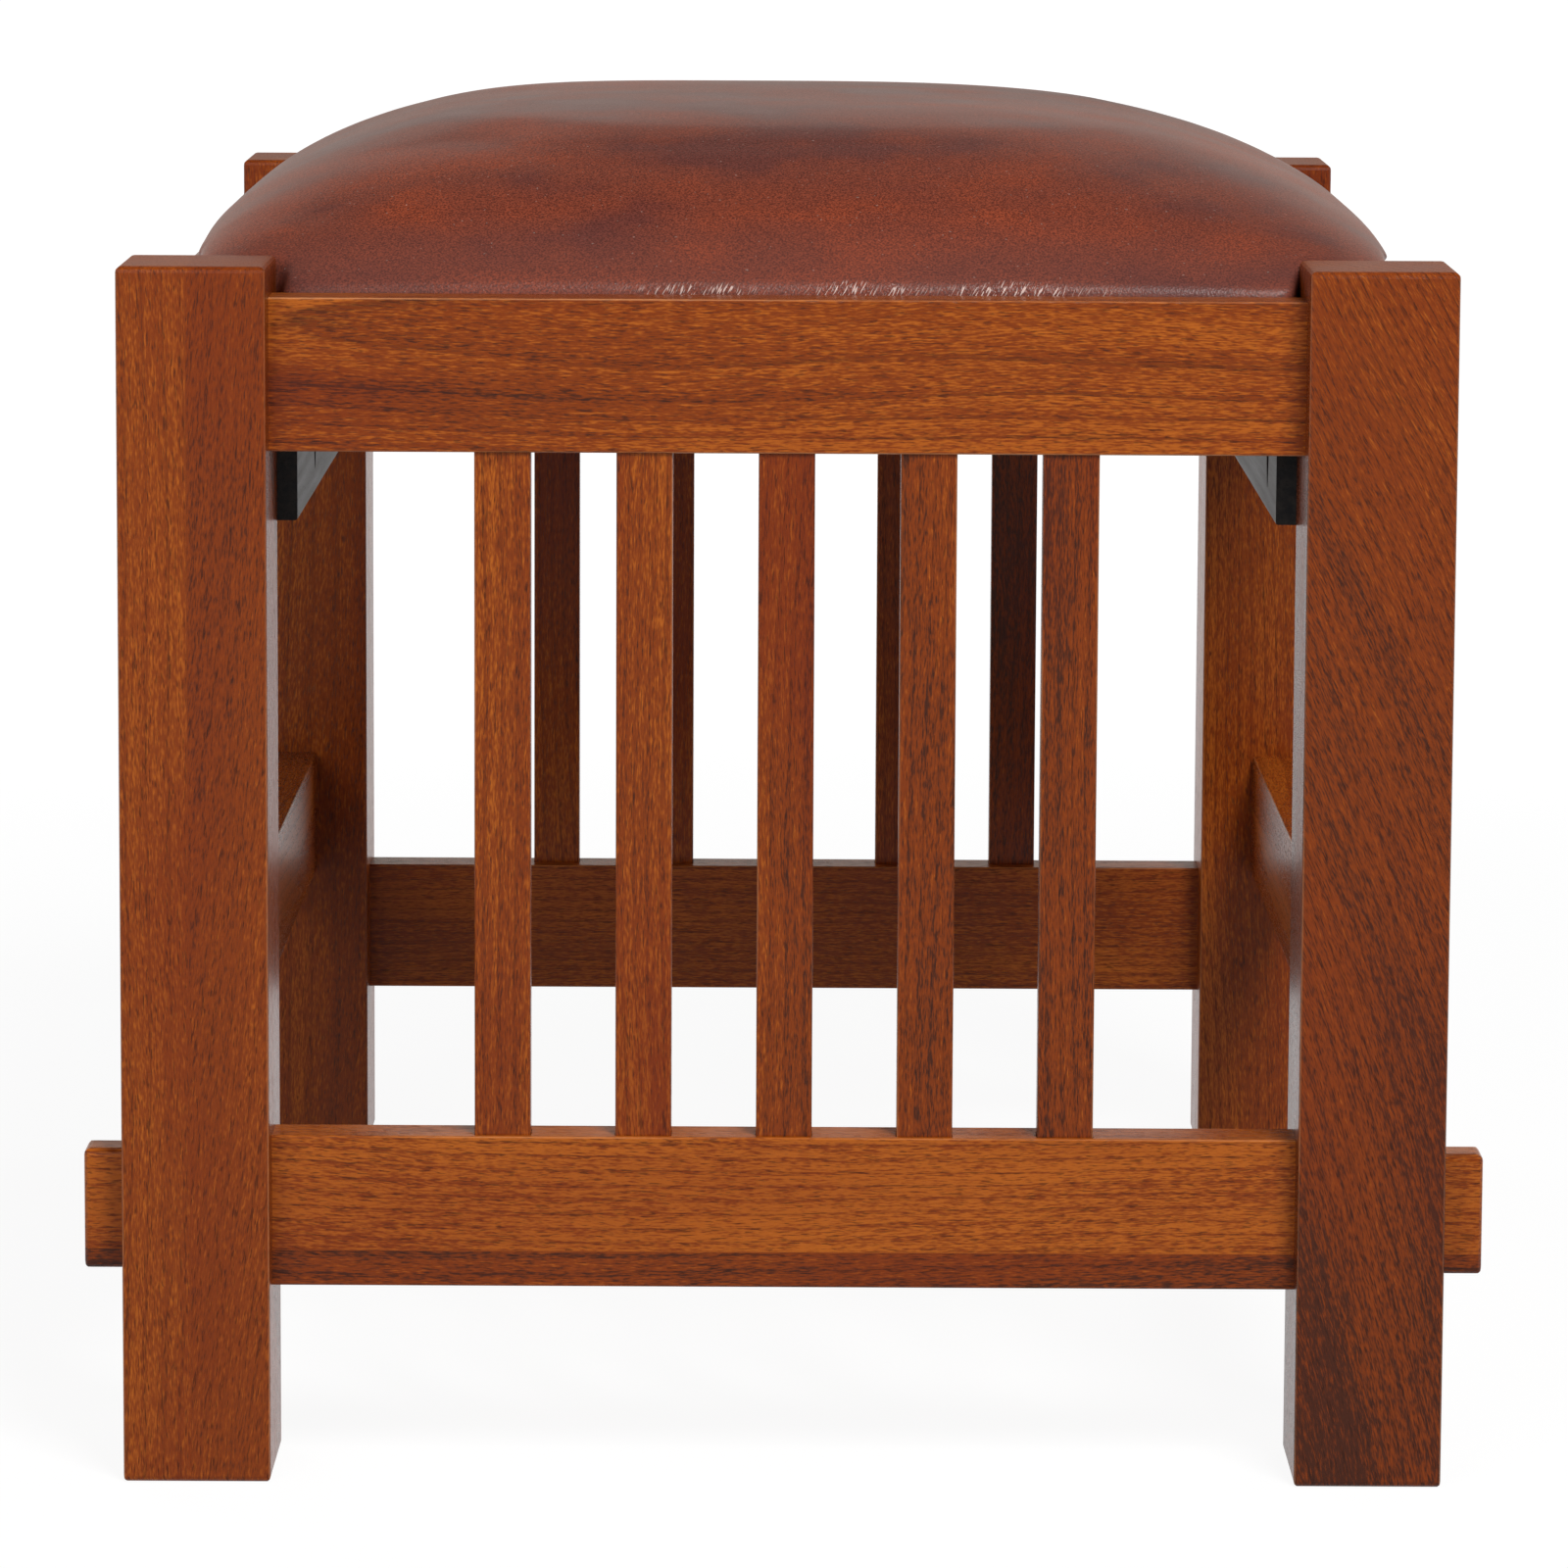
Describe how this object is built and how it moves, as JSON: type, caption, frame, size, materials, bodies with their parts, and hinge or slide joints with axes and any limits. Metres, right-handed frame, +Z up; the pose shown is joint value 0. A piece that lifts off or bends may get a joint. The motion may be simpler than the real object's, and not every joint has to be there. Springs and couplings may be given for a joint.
{
  "type": "spindle stool",
  "caption": "Low mission-style stool with square posts, flat spindles between end rails, through tenons and a crowned leather seat.",
  "frame": {"origin": "on the floor, under the middle of the stool", "axes": "+Z up, +X across the spindled ends to the right, +Y from the front end to the rear end"},
  "size_m": [0.486, 0.596, 0.4663],
  "materials": {
    "leg_wood": "red-brown stained hardwood under satin lacquer, upright grain",
    "rail_wood": "red-brown stained hardwood under satin lacquer, grain along the rail",
    "spindle_wood": "red-brown stained hardwood under satin lacquer, upright grain",
    "cleat_wood": "dark stained hardwood, sealed",
    "board_wood": "plain plywood",
    "foam": "upholstery foam, hidden by the leather",
    "leather": "brown-burgundy leather with a fine grain and a soft sheen",
    "screw_steel": "black coated steel"
  },
  "bodies": {
    "root": {"leg_front_left": "leg_wood", "leg_front_right": "leg_wood", "leg_rear_left": "leg_wood", "leg_rear_right": "leg_wood", "top_rail_front": "rail_wood", "top_rail_rear": "rail_wood", "top_rail_left": "rail_wood", "top_rail_right": "rail_wood", "lower_rail_front": "rail_wood", "lower_rail_rear": "rail_wood", "lower_rail_left": "rail_wood", "lower_rail_right": "rail_wood", "front_spindle_1": "spindle_wood", "front_spindle_2": "spindle_wood", "front_spindle_3": "spindle_wood", "front_spindle_4": "spindle_wood", "front_spindle_5": "spindle_wood", "rear_spindle_1": "spindle_wood", "rear_spindle_2": "spindle_wood", "rear_spindle_3": "spindle_wood", "rear_spindle_4": "spindle_wood", "rear_spindle_5": "spindle_wood", "seat_cleat_left": "cleat_wood", "seat_cleat_right": "cleat_wood", "seat_screws": "screw_steel", "seat_board": "board_wood", "foam_pad": "foam", "leather_cover": "leather"}
  },
  "joints": []
}
